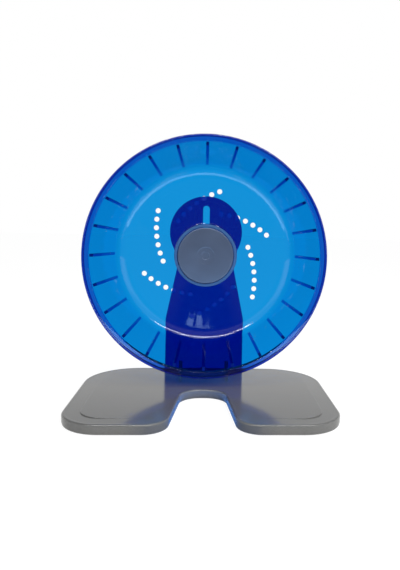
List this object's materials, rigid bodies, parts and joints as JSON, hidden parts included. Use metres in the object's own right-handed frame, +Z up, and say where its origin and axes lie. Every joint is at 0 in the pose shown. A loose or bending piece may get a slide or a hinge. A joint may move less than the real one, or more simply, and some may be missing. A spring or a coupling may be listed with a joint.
{
  "type": "rodent exercise wheel",
  "caption": "See-through blue running wheel on a bearing, held by a clamp in a slotted upright post on a flat forked silver base.",
  "frame": {"origin": "centre of the bounding box in plan, on the surface that the feet stand on", "axes": "+Z up; the wheel turns about an axis along Y and its open side faces -Y; +X is to the right seen from there"},
  "size_m": [0.28, 0.2096, 0.301],
  "materials": {
    "clear_blue": "polished see-through blue moulding",
    "deep_blue": "polished thick see-through blue plate, deep in colour",
    "silver_base": "silver metallic, polished",
    "grey_cap": "satin slate grey",
    "black_knob": "finely grained black",
    "bearing_steel": "ground and polished",
    "spring_steel": "oiled dark spring steel",
    "zinc_steel": "bright zinc plate",
    "brass_nut": "turned",
    "foot_rubber": "matt black"
  },
  "bodies": {
    "stand": {"base_lid": "silver_base", "base_tray": "silver_base", "post": "deep_blue", "post_screws": "zinc_steel", "base_screws": "zinc_steel", "foot_front_left": "foot_rubber", "foot_front_right": "foot_rubber", "foot_rear_left": "foot_rubber", "foot_rear_right": "foot_rubber"},
    "carrier": {"axle": "zinc_steel", "bearing_inner_ring": "bearing_steel", "axle_washer": "zinc_steel", "axle_nut": "zinc_steel", "clamp_plate": "zinc_steel"},
    "wheel": {"wheel_drum": "clear_blue", "hub_cap": "grey_cap", "bearing_outer_ring": "bearing_steel", "bearing_retainer": "spring_steel"},
    "knob": {"clamp_knob": "black_knob", "knob_nut": "brass_nut"}
  },
  "joints": [
    {"name": "height_slide", "type": "slide", "parent": "stand", "child": "carrier", "axis": [0, 0, 1], "range_m": [0, 0.056]},
    {"name": "wheel_spin", "type": "hinge", "parent": "carrier", "child": "wheel", "pos_m": [0, 0.0737, 0.161], "axis": [0, 1, 0], "continuous": true},
    {"name": "knob_turn", "type": "hinge", "parent": "carrier", "child": "knob", "pos_m": [0, 0.0988, 0.161], "axis": [0, 1, 0], "continuous": true}
  ]
}
